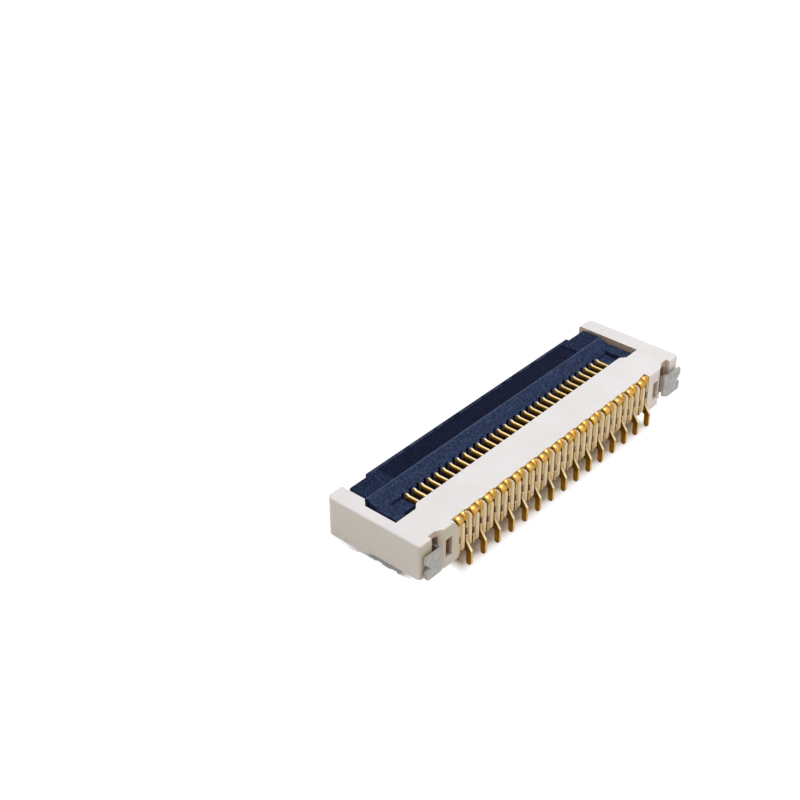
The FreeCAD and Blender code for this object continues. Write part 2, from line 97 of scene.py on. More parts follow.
class Nodes:
    """A tree of nodes and short ways to add to it.

    A value is a socket to link, a number, a vector or a colour. A share is a value
    from 0 to 1. A zone is a pair of places or slants, and its share goes from 0 at
    the first to 1 at the second.
    """

    def __init__(self, owner):
        owner.use_nodes = True
        self.tree = owner.node_tree

    def feed(self, node, values):
        """Give sockets of a node their values; keys are names or numbers of sockets."""
        for key, value in values.items():
            socket = node.inputs[key]
            if isinstance(value, bpy.types.NodeSocket):
                self.tree.links.new(value, socket)
            elif socket.type == "RGBA":
                socket.default_value = (*value, 1.0)
            else:
                socket.default_value = value

    def add(self, kind, values=None, **settings):
        """One node with its values and settings."""
        node = self.tree.nodes.new(kind)
        for key, setting in settings.items():
            setattr(node, key, setting)
        self.feed(node, values or {})
        return node

    def axes(self, kind):
        """X, Y and Z of the piece's own place in millimetres, or of its normal."""
        source = self.add("ShaderNodeTexCoord").outputs[kind]
        if kind == "Object":
            scaled = self.add("ShaderNodeVectorMath", operation="SCALE")
            self.feed(scaled, {"Vector": source, "Scale": 1 / MM})
            source = scaled.outputs["Vector"]
        return self.add("ShaderNodeSeparateXYZ", {"Vector": source}).outputs

    def noise(self, grain, detail=2.0, roughness=0.5, stretch=(1, 1, 1)):
        """Noise on the piece's own coordinates; grain is its size in millimetres."""
        mapping = self.add("ShaderNodeMapping", {
            "Vector": self.add("ShaderNodeTexCoord").outputs["Object"],
            "Scale": [part / (grain * MM) for part in stretch],
        })
        texture = self.add("ShaderNodeTexNoise", {
            "Vector": mapping.outputs["Vector"], "Scale": 1.0,
            "Detail": detail, "Roughness": roughness,
        })
        return texture.outputs["Fac"]

    def calc(self, operation, *values):
        """A sum worked out from values."""
        return self.add(
            "ShaderNodeMath", dict(enumerate(values)), operation=operation
        ).outputs["Value"]

    def distance(self, value, middle=0.0):
        """How far a value lies from a middle, to either side."""
        return self.calc("ABSOLUTE", self.calc("SUBTRACT", value, middle))

    def grade(self, value, low, high, out_low=0.0, out_high=1.0):
        """Map the stretch from low to high onto another, and hold its ends."""
        return self.add("ShaderNodeMapRange", {
            "Value": value, "From Min": low, "From Max": high,
            "To Min": out_low, "To Max": out_high,
        }, clamp=True).outputs["Result"]

    def vary(self, noise, low, high, reach=(0.3, 0.7)):
        """A value that goes from low to high as a noise goes through its reach."""
        return self.grade(noise, *reach, low, high)

    def product(self, first, *others):
        """Values multiplied together."""
        for other in others:
            first = self.calc("MULTIPLY", first, other)
        return first

    def mix(self, share, first, second, blend="MIX"):
        """The first colour with a share of the second."""
        node = self.add("ShaderNodeMix", data_type="RGBA", blend_type=blend)
        colours = [key for key, socket in enumerate(node.inputs) if socket.type == "RGBA"]
        self.feed(node, {"Factor": share, colours[0]: first, colours[1]: second})
        return next(socket for socket in node.outputs if socket.type == "RGBA")

    def tone(self, colour, factor):
        """A colour made lighter or darker by a factor."""
        grey = self.add("ShaderNodeCombineColor", dict.fromkeys(("Red", "Green", "Blue"), factor))
        return self.mix(1.0, colour, grey.outputs["Color"], "MULTIPLY")

    def relief(self, height, depth):
        """The normal of a surface raised by a share of the depth."""
        return self.add(
            "ShaderNodeBump", {"Height": height, "Strength": 1.0, "Distance": depth * MM}
        ).outputs["Normal"]

    def choose(self, share, first, second):
        """The first shader with a share of the second."""
        return self.add(
            "ShaderNodeMixShader", {"Fac": share, 1: first, 2: second}
        ).outputs["Shader"]


def new_material(name):
    """A material, its nodes and its main shader."""
    material = bpy.data.materials.new(name)
    nodes = Nodes(material)
    return material, nodes, nodes.tree.nodes["Principled BSDF"]


# Finishes

HOUSING_WHITE = (0.85, 0.82, 0.82)
HOUSING_WARM = (0.82, 0.785, 0.775)
# Painted shade: faces turned from the top are warmer and darker
HOUSING_SIDE_SHADE = (0.80, 0.73, 0.655)
# Painted shade on the rib flanks, deeper in
RIB_FLANK_SHADE = (0.49, 0.28, 0.10)
# Painted shade on the board side, browner at the near end
HOUSING_BOARD_SHADE = (0.63, 0.555, 0.43)
HOUSING_SHADE = (0.26, 0.13, 0.02)
# The ribs painted in shade with a gold reflection
RIB_SHADE_AND_REFLECTION = (0.87, 0.70, 0.45)
# Painted shade inside the moulding windows, darker at the near end
WINDOW_SHADE_NEAR = (0.42, 0.24, 0.11)
WINDOW_SHADE_FAR = (0.62, 0.47, 0.31)
# Painted shade in the bay and the alcove
BAY_SHADE = (0.62, 0.45, 0.35)

# Zones and tones of the housing

CLOUD_EDGES = (0.35, 0.62)
FLECK_TONES = (0.97, 1.02)
HOUSING_GLOSS = (0.42, 0.58)
SIDE_FACES = (0.8, 0.3)
BOARD_FACES = (-0.3, -0.9)
TOWARDS_FAR_END = (0, 7)
BELOW_PLATE = (2.14, 2.10)
RIB_ROW = (7.36, 7.34)
RIB_ZONE = (0.78, 0.72)
RIB_FLANKS = (0.29, 0.40)
RIB_VALLEYS = (0.40, 0.46)
RIB_TOPS = (0.35, 0.85)
WINDOW_WIDTH = (0.27, 0.25)
WINDOW_MOUTH = (0.30, 0.50)
WINDOW_BACK = (1.00, 0.95)
WINDOW_TOP = (1.60, 1.55)
BAY_WALLS = (0.5, 0.9)
BAY_ENDS = (9.50, 9.45)
BAY_DEPTH = (2.1, 2.3)
ALCOVE_WIDTH = (0.42, 0.34)
ALCOVE_MOUTH = (0.32, 0.48)
ALCOVE_BACK = (0.80, 0.75)


def make_housing_resin():
    """Off-white moulded resin with faint clouds; painted shade makes it warmer on its sides and in
    the ribs, and darker in the slots, windows, bay and alcove.
    """
    material, nodes, shader = new_material("housing_resin")
    clouds = nodes.noise(grain=1.6, detail=4)
    flecks = nodes.noise(grain=0.05, detail=3)
    normal, place = nodes.axes("Normal"), nodes.axes("Object")
    along = nodes.distance(place["X"])
    towards_end = nodes.grade(place["X"], *TOWARDS_FAR_END)
    below_plate = nodes.grade(place["Z"], *BELOW_PLATE)

    colour = nodes.mix(nodes.grade(clouds, *CLOUD_EDGES), HOUSING_WARM, HOUSING_WHITE)
    # Painted shade: sides warmer and darker than the top
    colour = nodes.mix(nodes.grade(normal["Z"], *SIDE_FACES), colour, HOUSING_SIDE_SHADE)
    # Painted shade on the board side, browner at the near end
    board = nodes.mix(towards_end, HOUSING_BOARD_SHADE, HOUSING_SIDE_SHADE)
    colour = nodes.mix(nodes.grade(normal["Y"], *BOARD_FACES), colour, board)

    # Painted shade and reflection on the ribs: flanks darker, tops lighter where light falls,
    # valleys darkest
    rib = nodes.mix(nodes.grade(place["Y"], *RIB_FLANKS), RIB_SHADE_AND_REFLECTION, RIB_FLANK_SHADE)
    rib = nodes.mix(nodes.grade(normal["Z"], *RIB_TOPS), rib, HOUSING_WARM)
    rib = nodes.mix(nodes.grade(place["Y"], *RIB_VALLEYS), rib, HOUSING_SHADE)
    in_ribs = nodes.product(
        nodes.grade(place["Y"], *RIB_ZONE), nodes.grade(along, *RIB_ROW), below_plate
    )
    colour = nodes.mix(in_ribs, colour, rib)

    # Painted shade inside the windows
    in_window = nodes.product(
        nodes.grade(nodes.distance(along, WINDOW_PLACE), *WINDOW_WIDTH),
        nodes.grade(place["Y"], *WINDOW_MOUTH),
        nodes.grade(place["Y"], *WINDOW_BACK),
        nodes.grade(place["Z"], *WINDOW_TOP),
    )
    colour = nodes.mix(in_window, colour, nodes.mix(towards_end, WINDOW_SHADE_NEAR, WINDOW_SHADE_FAR))

    # Painted shade on the bay walls and in the alcove above the tab
    in_bay = nodes.product(
        nodes.grade(nodes.distance(normal["X"]), *BAY_WALLS),
        nodes.grade(along, *BAY_ENDS),
        nodes.grade(place["Y"], *BAY_DEPTH),
    )
    in_alcove = nodes.product(
        nodes.grade(nodes.distance(along, ALCOVE_PLACE), *ALCOVE_WIDTH),
        nodes.grade(place["Y"], *ALCOVE_MOUTH),
        nodes.grade(place["Y"], *ALCOVE_BACK),
        below_plate,
    )
    colour = nodes.mix(nodes.calc("MAXIMUM", in_bay, in_alcove), colour, BAY_SHADE)

    nodes.feed(shader, {
        "Base Color": nodes.tone(colour, nodes.vary(flecks, *FLECK_TONES)),
        "Subsurface Weight": 0.12,
        "Subsurface Radius": (1.0, 0.8, 0.6),
        "Subsurface Scale": 0.15 * MM,
        "Roughness": nodes.vary(nodes.noise(grain=0.3, detail=3), *HOUSING_GLOSS),
        "Normal": nodes.relief(flecks, depth=0.002),
    })
    return material


NAVY = (0.0065, 0.0090, 0.029)
NAVY_LIP = (0.010, 0.018, 0.052)
# Painted light: the slope before the ridge lighter where light falls
NAVY_SLOPE_LIT = (0.025, 0.038, 0.090)
# Sandy specks; also the colour of the painted highlight lines
NAVY_SPECK_AND_HIGHLIGHT = (0.075, 0.100, 0.160)

# Zones and tones of the actuator

PAST_RIDGE = (4.28, 4.32)
PANEL_ENDS = (7.00, 6.95)
# Painted highlight line along the ridge
RIDGE_LINE = (0.045, 0.015)
RIDGE_SHINE = 0.8
# Painted highlight line along the rim, broken up by noise
RIM_LINE = (0.035, 0.015)
RIM_HIGHLIGHT_BREAKS = (0.40, 0.62)
RIM_SHINE = (0.2, 1.0)
FLOW_REACH = (0.36, 0.66)
FLOW_TONES = (0.85, 1.2)
SAND_REACH = (0.35, 0.60)
SAND_TONES = (0.65, 1.15)
SPECK_REACH = (0.50, 0.72)
SPECK_COVER = 0.75
PANEL_SPECKS = 0.12
NAVY_GLOSS = (0.38, 0.52)


def make_actuator_resin():
    """Dark navy resin: a darker sunk panel, the slope painted lighter where light falls, painted
    highlight lines on the ridge and rim, a sandy grain.
    """
    material, nodes, shader = new_material("actuator_resin")
    flow = nodes.noise(grain=0.30, detail=4, roughness=0.6, stretch=(0.3, 1, 1))
    sand = nodes.noise(grain=0.11, detail=3, roughness=0.75)
    place = nodes.axes("Object")

    past_ridge = nodes.grade(place["Y"], *PAST_RIDGE)
    panel = nodes.product(past_ridge, nodes.grade(nodes.distance(place["X"]), *PANEL_ENDS))
    # Painted light: lighter on the slope before the ridge
    colour = nodes.mix(past_ridge, NAVY_SLOPE_LIT, NAVY_LIP)
    colour = nodes.mix(panel, colour, NAVY)

    # Painted highlight along the ridge
    ridge = nodes.grade(nodes.distance(place["Y"], RIDGE_PLACE), *RIDGE_LINE)
    colour = nodes.mix(nodes.product(ridge, RIDGE_SHINE), colour, NAVY_SPECK_AND_HIGHLIGHT)
    # Painted highlight along the rim, broken up by noise
    rim = nodes.grade(nodes.distance(place["Y"], RIM_PLACE), *RIM_LINE)
    broken_highlight = nodes.vary(nodes.noise(grain=0.5), *RIM_SHINE, reach=RIM_HIGHLIGHT_BREAKS)
    colour = nodes.mix(nodes.product(rim, broken_highlight), colour, NAVY_SPECK_AND_HIGHLIGHT)

    tones = nodes.product(
        nodes.vary(flow, *FLOW_TONES, reach=FLOW_REACH),
        nodes.vary(sand, *SAND_TONES, reach=SAND_REACH),
    )
    specks = nodes.product(
        nodes.vary(sand, 0, SPECK_COVER, reach=SPECK_REACH),
        nodes.grade(panel, 0, 1, 1, PANEL_SPECKS),
    )
    nodes.feed(shader, {
        "Base Color": nodes.mix(specks, nodes.tone(colour, tones), NAVY_SPECK_AND_HIGHLIGHT),
        "Specular IOR Level": 0.02,
        "Roughness": nodes.vary(flow, *NAVY_GLOSS),
        "Normal": nodes.relief(sand, depth=0.004),
    })
    return material


GOLD = (0.78, 0.50, 0.16)
# Painted light: upward faces paler
GOLD_LIT_TOP = (1.0, 0.95, 0.72)
# Painted shade on the flanks
GOLD_FLANK_SHADE = (0.30, 0.13, 0.008)
GOLD_ORANGE = (0.71, 0.35, 0.03)
# Painted shade on the contact edges in the slots
GOLD_SLOT_SHADE = (0.62, 0.45, 0.18)
# Painted shade on the beam flanks
GOLD_BEAM_FLANK_SHADE = (0.58, 0.30, 0.03)
# Darker painted sides and bright painted highlight strip of each beam top
GOLD_BEAM_TOP_SHADE = (0.34, 0.18, 0.02)
GOLD_HIGHLIGHT_STRIP = (1.0, 0.84, 0.46)
GOLD_OLIVE = (0.52, 0.31, 0.05)
# Painted shade deep in the slots and low between the beams
GOLD_DEEP_SHADE = (0.07, 0.03, 0.008)
NICKEL = (0.14, 0.15, 0.25)

# Zones and tones of the contacts

TOP_EDGES = (0.25, 0.55)
FLANKS = (0.45, 0.95)
BEAM_STRETCH = (1.5, 2.0)
# Where the painted highlight strip of a beam top fades
HIGHLIGHT_STRIP_EDGES = (0.05, 0.03)
BEAM_TOP = (1.66, 1.80)
HEAD_TOP = (1.62, 1.70)
HEAD_DEPTH = (0.72, 0.64)
HEAD_COVER = 0.9
SLOT_MOUTH = (0.24, 0.28)
SLOT_BACK = (0.80, 0.70)
SLOT_TOP = (1.72, 1.60)
SLOT_FOOT = (0.50, 0.56)
SLOT_COVER = 0.8
SLOT_INSIDE = (0.36, 0.42)
HOOK_START = (3.31, 3.36)
HOOK_END = (3.60, 3.55)
HOLLOW_EDGES = (0.42, 0.58)
STREAK_TONES = (0.82, 1.12)
GOLD_GLOSS = (0.24, 0.38)
BEAM_FLANKS = (0.2, 0.8)
BEAM_METAL = 0.2
BEAM_ROUGHNESS = 0.6


def make_contact_gold():
    """Thin gold: upward edges painted pale as lit, a painted highlight strip on beam tops, flanks
    and slots painted in brown shade, nickel hooks.
    """
    material, nodes, shader = new_material("contact_plating")
    streaks = nodes.noise(grain=0.12, detail=3, roughness=0.6, stretch=(1, 0.3, 0.3))
    normal, place = nodes.axes("Normal"), nodes.axes("Object")
    on_beam = nodes.grade(place["Y"], *BEAM_STRETCH)
    flank = nodes.grade(nodes.distance(normal["X"]), *FLANKS)

    # The distance from the middle of the nearest contact
    off_middle = nodes.calc(
        "PINGPONG", nodes.calc("SUBTRACT", place["X"], PITCH / 2), PITCH / 2
    )
    # Painted highlight: a bright strip along the middle of each beam top
    strip = nodes.mix(nodes.grade(off_middle, *HIGHLIGHT_STRIP_EDGES), GOLD_BEAM_TOP_SHADE, GOLD_HIGHLIGHT_STRIP)
    top = nodes.mix(on_beam, GOLD_LIT_TOP, strip)
    # Painted light: upward faces paler
    colour = nodes.mix(nodes.grade(normal["Z"], *TOP_EDGES), GOLD, top)
    # Painted shade on the flanks, darkest low between the beams
    beam = nodes.mix(nodes.grade(place["Z"], *BEAM_TOP), GOLD_DEEP_SHADE, GOLD_BEAM_FLANK_SHADE)
    colour = nodes.mix(flank, colour, nodes.mix(on_beam, GOLD_FLANK_SHADE, beam))

    on_head = nodes.product(
        nodes.grade(place["Z"], *HEAD_TOP), nodes.grade(place["Y"], *HEAD_DEPTH), HEAD_COVER
    )
    hollows = nodes.grade(nodes.noise(grain=0.28, detail=1), *HOLLOW_EDGES)
    colour = nodes.mix(on_head, colour, nodes.mix(hollows, GOLD_OLIVE, GOLD_ORANGE))

    # Painted shade on the edges in the slots, darker deeper in
    in_slot = nodes.product(
        nodes.grade(place["Y"], *SLOT_MOUTH), nodes.grade(place["Y"], *SLOT_BACK),
        nodes.grade(place["Z"], *SLOT_TOP), nodes.grade(place["Z"], *SLOT_FOOT),
    )
    colour = nodes.mix(nodes.product(in_slot, SLOT_COVER), colour, GOLD_SLOT_SHADE)
    deep_in_slot = nodes.product(in_slot, nodes.grade(place["Y"], *SLOT_INSIDE))
    colour = nodes.mix(deep_in_slot, colour, GOLD_DEEP_SHADE)
    colour = nodes.tone(colour, nodes.vary(streaks, *STREAK_TONES))
    on_hook = nodes.product(
        nodes.grade(place["Y"], *HOOK_START), nodes.grade(place["Y"], *HOOK_END)
    )

    beam_flank = nodes.product(flank, on_beam)
    gloss = nodes.vary(nodes.noise(grain=0.06, detail=3), *GOLD_GLOSS)
    nodes.feed(shader, {
        "Base Color": nodes.mix(on_hook, colour, NICKEL),
        "Metallic": nodes.grade(beam_flank, *BEAM_FLANKS, 1, BEAM_METAL),
        "Roughness": nodes.calc("MAXIMUM", gloss, nodes.product(beam_flank, BEAM_ROUGHNESS)),
        "Normal": nodes.relief(streaks, depth=0.002),
    })
    return material


TIN = (0.50, 0.49, 0.47)
TIN_DULL = (0.38, 0.37, 0.35)
PATCH_EDGES = (0.3, 0.65)
TIN_GLOSS = (0.5, 0.36)


def make_tab_tin():
    """Matte tin: a faint rolled grain and duller patches."""
    material, nodes, shader = new_material("tab_plating")
    patches = nodes.noise(grain=0.25, detail=4)
    rolled = nodes.noise(grain=0.05, detail=3, roughness=0.6, stretch=(0.3, 1, 1))
    nodes.feed(shader, {
        "Base Color": nodes.mix(nodes.grade(patches, *PATCH_EDGES), TIN_DULL, TIN),
        "Metallic": 0.8,
        "Roughness": nodes.vary(patches, *TIN_GLOSS),
        "Normal": nodes.relief(rolled, depth=0.003),
    })
    return material


FINISHES = {
    "housing_resin": make_housing_resin(),
    "actuator_resin": make_actuator_resin(),
    "contact_plating": make_contact_gold(),
    "tab_plating": make_tab_tin(),
}


# Pieces

BEVEL_SEGMENTS = 2
BEVEL_ANGLE = 40.0
SAME_POINT = 0.0001
SAME_PLANE = 1.0


def new_piece(name, mesh, node, edge, stands_in=True):
    """A piece with rounded edges, which rides on a node's body and has its finish.

    The piece stands in for the node, or only lies on it. edge is the width of the
    rounding.
    """
    slot = SLOT_OF[node]
    mesh.materials.clear()
    mesh.materials.append(FINISHES[slot])
    mesh.shade_smooth()
    piece = bpy.data.objects.new(name, mesh)
    bpy.context.scene.collection.objects.link(piece)
    rounding = piece.modifiers.new("edges", "BEVEL")
    rounding.width = edge * MM
    rounding.segments = BEVEL_SEGMENTS
    rounding.limit_method = "ANGLE"
    rounding.angle_limit = math.radians(BEVEL_ANGLE)
    rounding.harden_normals = True
    rounding.use_clamp_overlap = True
    if stands_in:
        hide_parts(node)
    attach(piece, BODY_OF[node])


def rework(mesh, change):
    """Let a function change a mesh in Blender's editing form."""
    work = bmesh.new()
    work.from_mesh(mesh)
    change(work)
    work.to_mesh(mesh)
    work.free()


def merged_copy(node):
    """A copy of a solid's mesh with its doubles merged and its flat faces whole."""
    mesh = frame["nodes"][node].data.copy()
    mesh.name = node + "_softened"

    def merge(work):
        bmesh.ops.remove_doubles(work, verts=work.verts, dist=SAME_POINT * MM)
        bmesh.ops.dissolve_limit(
            work, angle_limit=math.radians(SAME_PLANE), verts=work.verts, edges=work.edges
        )

    rework(mesh, merge)
    for name in ("custom_normal", "sharp_edge", "sharp_face"):
        if name in mesh.attributes:
            mesh.attributes.remove(mesh.attributes[name])
    return mesh


def surface(name, points, faces):
    """A mesh from an array of points, with its faces turned outwards."""
    mesh = bpy.data.meshes.new(name)
    mesh.from_pydata((points * MM).tolist(), [], faces)
    rework(mesh, lambda work: bmesh.ops.recalc_face_normals(work, faces=work.faces))
    return mesh


def tube_faces(rings, around, first=0):
    """Quads between closed rings of points, with a face over each end."""
    ring = np.arange(rings - 1)[:, None] * around + first
    here = np.arange(around)[None, :]
    after = (here + 1) % around
    quads = np.stack(
        [ring + here, ring + after, ring + around + after, ring + around + here], axis=-1
    )
    last = first + (rings - 1) * around
    ends = [list(range(first, first + around)), list(range(last, last + around))]
    return quads.reshape(-1, 4).tolist() + ends


# Housing

HOUSING_EDGE = 0.02
PLATE_EDGE = 0.50
FOLD_WIDTH = 0.04
OUTER_SLOT = FIELD_HALF + 0.08
CUT_FROM = 1.65
CUT_SLOPE = 0.65
CUT_STRETCH = (-7.46, -7.332)
WINDOW_HALF_WIDTH = 0.23
WINDOW_DEPTH = 0.91
WINDOW_HALF_HEIGHT = 0.47
WINDOW_GROWTH = 0.07


def make_housing():
    """The moulding, whose square rib fronts are folded back behind rounded ones.

    Between the outer slots, the stretch of Y from the rib fronts to the back of
    the pockets is squeezed to the last few hundredths before the plate's edge.
    The corner of the block beside the first contact leans back above one height:
    X falls by the slope times the height above it. The moulding windows reach a
    little further up and down.
    """
    mesh = merged_copy("housing")
    rework(mesh, lambda work: bmesh.ops.bisect_plane(
        work, geom=[*work.verts, *work.edges, *work.faces],
        plane_co=(0, 0, CUT_FROM * MM), plane_no=(0, 0, 1)
    ))
    points = np.empty(len(mesh.vertices) * 3)
    mesh.vertices.foreach_get("co", points)
    x, y, z = points.reshape(-1, 3).T / MM

    in_front = y < POCKET_REACH + SAME_POINT
    share = (y - BOARD_SIDE) / (POCKET_REACH - BOARD_SIDE)
    folded = PLATE_EDGE - FOLD_WIDTH * (1 - share)
    y = np.where(in_front & (np.abs(x) < OUTER_SLOT), folded, y)

    beside, above = np.abs(x) - WINDOW_PLACE, z - WINDOW_HEIGHT
    window = (np.abs(beside) < WINDOW_HALF_WIDTH) & (y < WINDOW_DEPTH)
    window &= np.abs(above) < WINDOW_HALF_HEIGHT
    z = z + np.where(window, WINDOW_GROWTH * np.sign(above), 0)

    corner = (x > CUT_STRETCH[0]) & (x < CUT_STRETCH[1]) & in_front
    rise = np.where(corner, np.clip(z - CUT_FROM, 0, None), 0)
    x = x - CUT_SLOPE * rise
    y = np.where(rise > 0, np.minimum(y, PLATE_EDGE), y)
    mesh.vertices.foreach_set("co", (np.stack([x, y, z], axis=1) * MM).ravel())
    mesh.update()
    new_piece("housing_moulding", mesh, "housing", HOUSING_EDGE)


RIB_EDGE = 0.008
RIB_ROOT = 0.55
RIB_WALL = 0.12
RIB_SHAFT = (0.02, 0.10, 0.26, 0.8, 1.2, 1.45)
RIB_FOOT_TOP = 0.26
RIB_FOOT_SIZE = 0.35
RIB_DOME = 0.17
DOME_OPENING = 0.96
DOME_FULLNESS = 0.8
TALL_RIB_TOP = 2.12
SHORT_RIB_TOP = 1.66
TALL_RIB_LEAN = 0.9
LEAN_STRETCH = (1.4, 2.05)
NOSE_POINTS = 11
DOME_RINGS = 8


def rib(centre, top, lean):
    """One rib: a bar with a half-round front and a domed top.

    Across the rib the outline is a wall, half an ellipse and a wall. Up the rib
    it keeps its size, and over the last stretch it shrinks as a quarter circle.
    The front falls back near the foot, and a lean lowers the dome on one side.
    """
    turn = np.linspace(0, math.pi, NOSE_POINTS)
    across = np.concatenate([[1.0], np.cos(turn), [-1.0]])
    nose = RIB_ROOT - RIB_WALL - BOARD_SIDE
    reach = np.concatenate([[0.0], RIB_WALL + nose * np.sin(turn), [0.0]])
    bend = np.linspace(0, DOME_OPENING, DOME_RINGS) * math.pi / 2
    height = np.concatenate([RIB_SHAFT, top - RIB_DOME + RIB_DOME * np.sin(bend)])
    size = np.concatenate([np.ones(len(RIB_SHAFT)), np.cos(bend) ** DOME_FULLNESS])
    foot = np.interp(height, [RIB_SHAFT[0], RIB_FOOT_TOP], [RIB_FOOT_SIZE, 1.0])
    x = centre + RIB_HALF_WIDTH * across[None, :] * size[:, None]
    y = RIB_ROOT - reach[None, :] * (size * foot)[:, None]
    z = np.repeat(height[:, None], len(across), axis=1)
    lowered = np.interp(z, LEAN_STRETCH, [0.0, lean])
    z = z - lowered * (x - centre + RIB_HALF_WIDTH)
    return np.stack([x, y, z], axis=-1)


def make_ribs():
    """All ribs of the board side: short and tall ones by turns."""
    points, faces = [], []
    for place in range(COUNT - 1):
        centre = -FIELD_HALF + (place + 0.5) * PITCH
        tall = place % 2
        grid = rib(centre, TALL_RIB_TOP if tall else SHORT_RIB_TOP, TALL_RIB_LEAN * tall)
        faces += tube_faces(*grid.shape[:2], first=sum(len(part) for part in points))
        points.append(grid.reshape(-1, 3))
    mesh = surface("ribs", np.concatenate(points), faces)
    new_piece("ribs", mesh, "housing", RIB_EDGE, stands_in=False)


# Contacts

def arc(centre, radius, start, end, count=7):
    """Points along a circle's arc, from one angle in degrees to another."""
    turn = np.radians(np.linspace(start, end, count))
    return np.stack([centre[0] + radius * np.cos(turn),
                     centre[1] + radius * np.sin(turn)], axis=1)


CONTACT_EDGE = 0.024
FORK = [
    (4.66, 0.30), (4.66, 0.53), (4.36, 0.76), (4.28, 0.76), (3.88, 0.50), (0.95, 0.50),
    (0.95, 1.54), (3.26, 1.54), (3.26, 1.28), (3.41, 1.28), (3.47, 1.54), (3.47, 1.84),
    (3.43, 1.88), (3.32, 1.88), (3.20, 1.82), (0.95, 1.82), (0.95, 1.88),
]
LONG_HEAD = [(0.60, 1.88), *arc((0.44, 1.99), 0.14, 20, 180)]
LONG_REAR = [(0.30, 1.26), (0.56, 1.22), (0.56, 0.90), (0.30, 0.86)]
LONG_FOOT = [
    (0.30, 0.52), (0.02, 0.12), (0.0, 0.06), *arc((0.14, -0.56), 0.14, 180, 360),
    (0.28, -0.04), (0.52, 0.12), (0.73, 0.12), (0.73, 0.30),
]
SHORT_HEAD = [(0.50, 1.88), *arc((0.38, 1.90), 0.10, 30, 200)]
SHORT_REAR = [
    (0.30, 1.70), (0.30, 1.03), (0.56, 0.99), (0.56, 0.67), (0.30, 0.63), (0.30, 0.12),
    (0.73, 0.12), (0.73, 0.30),
]

# Rolled heads: points in Y and Z with the share of the full size there

LOBE = [
    (0.66, 2.00, 1.0), (0.50, 2.03, 1.0), (0.38, 2.01, 1.0), (0.28, 1.93, 0.95),
    (0.25, 1.81, 0.8), (0.28, 1.70, 0.45),
]
LOBE_HALF = (0.21, 0.09)
ARCH = [
    (0.70, 1.98, 1.0), (0.58, 2.04, 1.0), (0.48, 2.05, 1.0), (0.40, 2.00, 0.9),
    (0.37, 1.90, 0.8), (0.36, 1.80, 0.65), (0.36, 1.70, 0.4),
]
ARCH_HALF = (0.19, 0.08)
ARCH_SHIFT = -0.09
HEAD_POINTS = 12


def blade(centre, outline):
    """A flat blade: its outline in Y and Z, carried along X by the thickness."""
    outline = np.array(outline)
    sides = [np.column_stack([np.full(len(outline), centre + side * CONTACT_THICKNESS / 2),
                              outline]) for side in (-1, 1)]
    return np.concatenate(sides)


def rolled_head(centre, path, half):
    """The rounded head of a contact: an ellipse swept along a bent path.

    Each point is the path's place, plus the half width times the cosine along X,
    plus the half thickness times the sine along the path's own normal. The third
    number of a path point scales the ellipse there.
    """
    path = np.array(path)
    along = np.gradient(path[:, :2], axis=0)
    along /= np.linalg.norm(along, axis=1, keepdims=True)
    turn = np.linspace(0, 2 * math.pi, HEAD_POINTS, endpoint=False)
    across = half[0] * path[:, 2:] * np.cos(turn)
    out = half[1] * path[:, 2:] * np.sin(turn)
    return np.stack([centre + across, path[:, :1] - along[:, 1:] * out,
                     path[:, 1:2] + along[:, :1] * out], axis=-1)


def make_contact(index):
    """A stamped fork; an odd place has the long foot and the narrower head."""
    centre = -FIELD_HALF + index * PITCH
    node = f"contact_{index + 1:02d}"
    if index % 2:
        outline = FORK + LONG_HEAD + LONG_REAR + LONG_FOOT
        head = rolled_head(centre + ARCH_SHIFT, ARCH, ARCH_HALF)
    else:
        outline = FORK + SHORT_HEAD + SHORT_REAR
        head = rolled_head(centre, LOBE, LOBE_HALF)
    points = blade(centre, outline)
    faces = tube_faces(2, len(outline)) + tube_faces(*head.shape[:2], first=len(points))
    points = np.concatenate([points, head.reshape(-1, 3)])
    name = node + "_blade"
    new_piece(name, surface(name, points, faces), node, CONTACT_EDGE)


# Actuator and solder tabs

ACTUATOR_EDGE = 0.015
TAB_EDGE = 0.04
TAB_CORNER = 0.11
TAB_CORNER_SEGMENTS = 4
TAB_PLATE_REACH = 0.25
TAB_THICKEST = 0.2
NEARLY_ALL = 0.9


def make_tab(node):
    """A bent strip, the corners of whose plate are rounded.

    The corners are the short edges that run straight through the plate, so that
    nearly all of their length is along Y, near the board.
    """
    def through_plate(edge):
        start, end = (vert.co.y for vert in edge.verts)
        thin = NEARLY_ALL * edge.calc_length() < abs(start - end) < TAB_THICKEST * MM
        return thin and max(start, end) < TAB_PLATE_REACH * MM

    mesh = merged_copy(node)
    rework(mesh, lambda work: bmesh.ops.bevel(
        work, geom=[edge for edge in work.edges if through_plate(edge)],
        offset=TAB_CORNER * MM, segments=TAB_CORNER_SEGMENTS, profile=0.5, affect="EDGES",
        clamp_overlap=True
    ))
    new_piece(node + "_softened", mesh, node, TAB_EDGE)


make_housing()
make_ribs()
for index in range(COUNT):
    make_contact(index)
new_piece("actuator_softened", merged_copy("actuator"), "actuator", ACTUATOR_EDGE)
for side in ("left", "right"):
    make_tab("solder_tab_" + side)


# Floor

WHITE = (1.0, 1.0, 1.0)
PAPER = (0.9, 0.9, 0.9)
# Painted shade: the lit paper near the part darker, with warm painted bounce light
PAPER_SHADE = (0.72, 0.60, 0.46)
# Painted shadow along the ends' lower edges
PAPER_EDGE_SHADOW = (0.13, 0.12, 0.09)
PAPER_GLOW = 1.02

FLOOR_REACH = 400.0
SHADE_HALF_WIDTH = 7.4
SHADE_HALF_DEPTH = 2.9
SHADE_FADE = (0.08, -0.45)
# The painted shadow line along the ends' lower edges
EDGE_SHADOW_DRAW_IN = 0.141
EDGE_SHADOW_WIDTH = (0.09, 0.03)
EDGE_SHADOW_REACH = (0.35, 0.65)
EDGE_SHADOW_RAGGED = (-0.03, 0.09)
EDGE_SHADOW_START = (1.2, 1.9)
EDGE_SHADOW_END = (5.2, 3.4)
EDGE_SHADOW_COVER = 0.8


